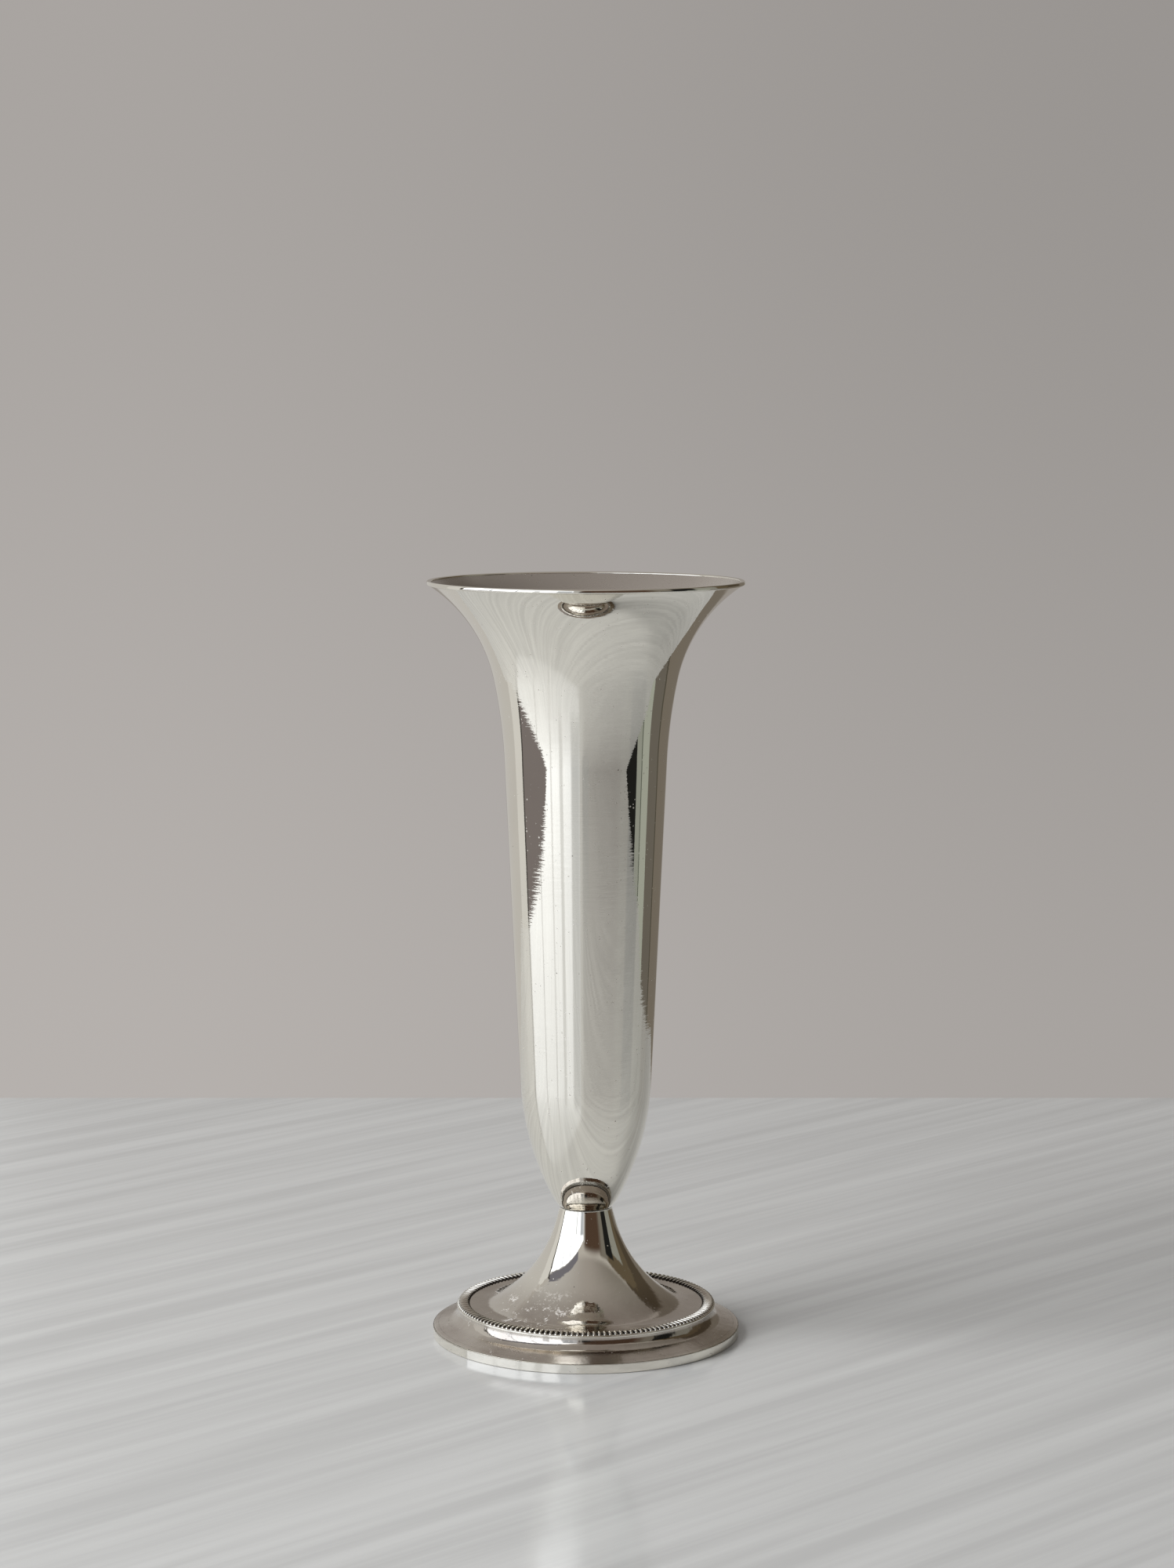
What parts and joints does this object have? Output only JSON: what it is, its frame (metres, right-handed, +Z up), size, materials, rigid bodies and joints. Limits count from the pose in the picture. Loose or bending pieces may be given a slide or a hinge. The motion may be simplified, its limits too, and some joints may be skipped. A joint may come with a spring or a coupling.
{
  "type": "trumpet vase",
  "caption": "Slim silver-plated trumpet vase with a flared mouth, a bolted waist and a spreading round foot with a lobed border.",
  "frame": {"origin": "centre of the foot on the surface that the vase stands on", "axes": "+Z up along the vase's axis of revolution, +X and +Y across the foot"},
  "size_m": [0.0828, 0.0828, 0.2],
  "materials": {
    "silver_plate": "polished silver plate, a little warm, with light tarnish, fine scratches and pits",
    "border_silver": "polished silver-plated lobes with dark tarnish left in the gaps",
    "brass_fastener": "plain turned brass, dulled"
  },
  "bodies": {
    "root": {"vase_body": "silver_plate", "lip_wire": "silver_plate", "foot_shell": "silver_plate", "foot_band": "silver_plate", "border_wire": "border_silver", "waist_stud": "brass_fastener", "waist_washer": "brass_fastener", "waist_nut": "brass_fastener"}
  },
  "joints": []
}
